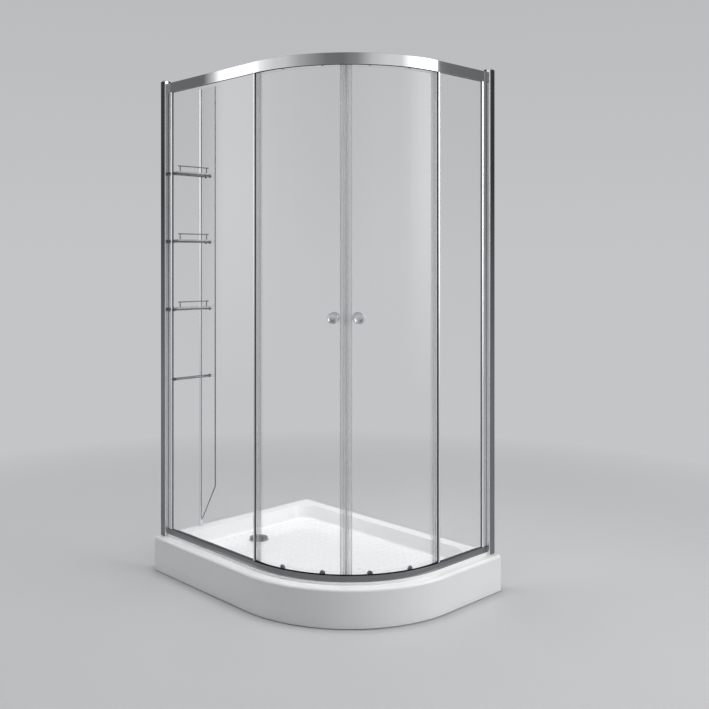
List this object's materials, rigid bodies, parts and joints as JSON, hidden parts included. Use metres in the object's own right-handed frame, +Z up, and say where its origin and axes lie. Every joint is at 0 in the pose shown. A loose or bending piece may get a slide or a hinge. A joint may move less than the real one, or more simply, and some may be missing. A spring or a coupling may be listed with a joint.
{
  "type": "corner shower enclosure",
  "caption": "Corner shower enclosure with curved sliding glass doors, fixed side panes, a skirted white tray with waste, and a glass shelf niche on the side wall.",
  "frame": {"origin": "on the floor under the middle of the tray's bounding box", "axes": "+Z up, +X along the back wall away from the side wall, +Y towards the back wall; the round corner faces +X and -Y"},
  "size_m": [1.2, 0.9, 2.162],
  "materials": {
    "white_acrylic": "gloss, vacuum formed",
    "bonded_board": "raw chipboard",
    "zinc_steel": "zinc plated",
    "waste_plastic": "moulded",
    "black_rubber": "soft moulded",
    "bright_aluminium": "polished, bright anodised",
    "chrome": "mirror plated",
    "clear_glass": "clear toughened, polished edges",
    "seal_vinyl": "translucent extruded strip",
    "roller_nylon": "turned nylon",
    "grey_plastic": "moulded"
  },
  "bodies": {
    "enclosure": {"shower_tray": "white_acrylic", "base_board": "bonded_board", "front_bearer": "zinc_steel", "back_bearer": "zinc_steel", "levelling_feet": "zinc_steel", "foot_nuts": "zinc_steel", "waste_seal": "black_rubber", "waste_flange": "chrome", "waste_trap": "waste_plastic", "left_wall_profile": "bright_aluminium", "right_wall_profile": "bright_aluminium", "profile_caps": "grey_plastic", "left_jamb": "bright_aluminium", "right_jamb": "bright_aluminium", "left_post": "bright_aluminium", "right_post": "bright_aluminium", "top_rail": "bright_aluminium", "bottom_rail": "bright_aluminium", "rail_end_blocks": "grey_plastic", "rail_screws": "zinc_steel", "door_stops": "black_rubber", "left_fixed_glass": "clear_glass", "right_fixed_glass": "clear_glass", "glazing_strips": "black_rubber", "niche_glass": "clear_glass", "niche_channel": "bright_aluminium", "niche_foot": "chrome", "niche_fixings": "chrome", "towel_bar": "chrome", "upper_shelf": "clear_glass", "upper_shelf_rail": "chrome", "middle_shelf": "clear_glass", "middle_shelf_rail": "chrome", "lower_shelf": "clear_glass", "lower_shelf_rail": "chrome"},
    "left_door": {"left_door_glass": "clear_glass", "left_lead_stile": "seal_vinyl", "left_trail_stile": "seal_vinyl", "left_magnet_seal": "seal_vinyl", "left_trail_seal": "seal_vinyl", "left_roller_brackets": "chrome", "left_roller_pins": "chrome", "left_knobs": "chrome"},
    "left_top_rear_roller": {"left_top_rear_roller": "roller_nylon"},
    "left_top_front_roller": {"left_top_front_roller": "roller_nylon"},
    "left_bottom_rear_roller": {"left_bottom_rear_roller": "roller_nylon"},
    "left_bottom_front_roller": {"left_bottom_front_roller": "roller_nylon"},
    "right_door": {"right_door_glass": "clear_glass", "right_lead_stile": "seal_vinyl", "right_trail_stile": "seal_vinyl", "right_magnet_seal": "seal_vinyl", "right_trail_seal": "seal_vinyl", "right_roller_brackets": "chrome", "right_roller_pins": "chrome", "right_knobs": "chrome"},
    "right_top_rear_roller": {"right_top_rear_roller": "roller_nylon"},
    "right_top_front_roller": {"right_top_front_roller": "roller_nylon"},
    "right_bottom_rear_roller": {"right_bottom_rear_roller": "roller_nylon"},
    "right_bottom_front_roller": {"right_bottom_front_roller": "roller_nylon"},
    "waste_cover": {"waste_cover": "chrome"}
  },
  "joints": [
    {"name": "left_door_slide", "type": "hinge", "parent": "enclosure", "child": "left_door", "pos_m": [0.0075, 0.249, 0.15], "axis": [0, 0, -1], "range_deg": [0, 22.2]},
    {"name": "left_top_rear_roller_spin", "type": "hinge", "parent": "left_door", "child": "left_top_rear_roller", "pos_m": [0.16021, -0.3432, 2.137], "axis": [0.2413, -0.9704, 0], "continuous": true},
    {"name": "left_top_front_roller_spin", "type": "hinge", "parent": "left_door", "child": "left_top_front_roller", "pos_m": [0.30863, -0.28247, 2.137], "axis": [0.5602, -0.8284, 0], "continuous": true},
    {"name": "left_bottom_rear_roller_spin", "type": "hinge", "parent": "left_door", "child": "left_bottom_rear_roller", "pos_m": [0.16021, -0.3432, 0.1621], "axis": [0.2413, -0.9704, 0], "continuous": true},
    {"name": "left_bottom_front_roller_spin", "type": "hinge", "parent": "left_door", "child": "left_bottom_front_roller", "pos_m": [0.30863, -0.28247, 0.1621], "axis": [0.5602, -0.8284, 0], "continuous": true},
    {"name": "right_door_slide", "type": "hinge", "parent": "enclosure", "child": "right_door", "pos_m": [-0.099, 0.1425, 0.15], "axis": [0, 0, 1], "range_deg": [0, 22.2]},
    {"name": "right_top_rear_roller_spin", "type": "hinge", "parent": "right_door", "child": "right_top_rear_roller", "pos_m": [0.4932, -0.01021, 2.137], "axis": [-0.9704, 0.2413, 0], "continuous": true},
    {"name": "right_top_front_roller_spin", "type": "hinge", "parent": "right_door", "child": "right_top_front_roller", "pos_m": [0.43247, -0.15863, 2.137], "axis": [-0.8284, 0.5602, 0], "continuous": true},
    {"name": "right_bottom_rear_roller_spin", "type": "hinge", "parent": "right_door", "child": "right_bottom_rear_roller", "pos_m": [0.4932, -0.01021, 0.1621], "axis": [-0.9704, 0.2413, 0], "continuous": true},
    {"name": "right_bottom_front_roller_spin", "type": "hinge", "parent": "right_door", "child": "right_bottom_front_roller", "pos_m": [0.43247, -0.15863, 0.1621], "axis": [-0.8284, 0.5602, 0], "continuous": true},
    {"name": "waste_cover_lift", "type": "slide", "parent": "enclosure", "child": "waste_cover", "axis": [0, 0, 1], "range_m": [0, 0.05]}
  ],
  "couplings": [
    {"joint": "left_top_rear_roller_spin", "follows": "left_door_slide", "ratio": 61.157},
    {"joint": "left_top_front_roller_spin", "follows": "left_door_slide", "ratio": 61.084},
    {"joint": "left_bottom_rear_roller_spin", "follows": "left_door_slide", "ratio": 61.157},
    {"joint": "left_bottom_front_roller_spin", "follows": "left_door_slide", "ratio": 61.084},
    {"joint": "right_top_rear_roller_spin", "follows": "right_door_slide", "ratio": 61.157},
    {"joint": "right_top_front_roller_spin", "follows": "right_door_slide", "ratio": 61.084},
    {"joint": "right_bottom_rear_roller_spin", "follows": "right_door_slide", "ratio": 61.157},
    {"joint": "right_bottom_front_roller_spin", "follows": "right_door_slide", "ratio": 61.084}
  ]
}
